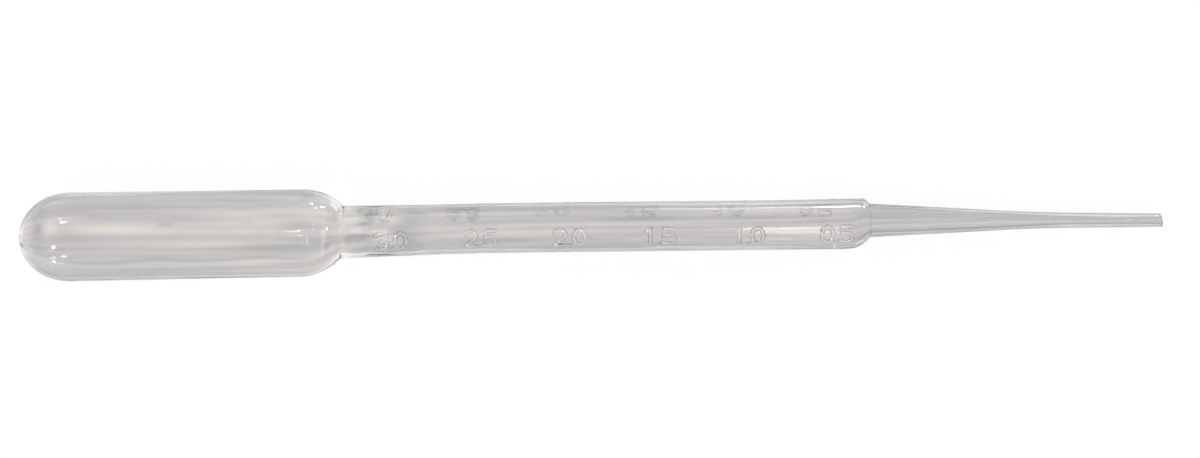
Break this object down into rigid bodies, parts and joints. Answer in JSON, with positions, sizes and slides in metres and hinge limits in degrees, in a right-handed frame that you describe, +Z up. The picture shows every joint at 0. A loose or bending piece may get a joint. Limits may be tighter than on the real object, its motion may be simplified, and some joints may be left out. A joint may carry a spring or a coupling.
{
  "type": "dropper pipette",
  "caption": "Translucent plastic dropper pipette: squeeze bulb, graduated stem and drawn tip, moulded in one piece and lying at rest.",
  "frame": {"origin": "middle of the underside of the pipette's box as it lies at rest, on the bulb's shoulder and the end of the stem", "axes": "+X towards the tip, along the pipette as seen from above; +Z up, with the upper raised graduations facing up and towards -Y"},
  "size_m": [0.16, 0.0124, 0.0133],
  "materials": {
    "milky_plastic": "translucent low-density polyethylene, smooth and slightly milky"
  },
  "bodies": {
    "root": {"pipette": "milky_plastic"}
  },
  "joints": []
}
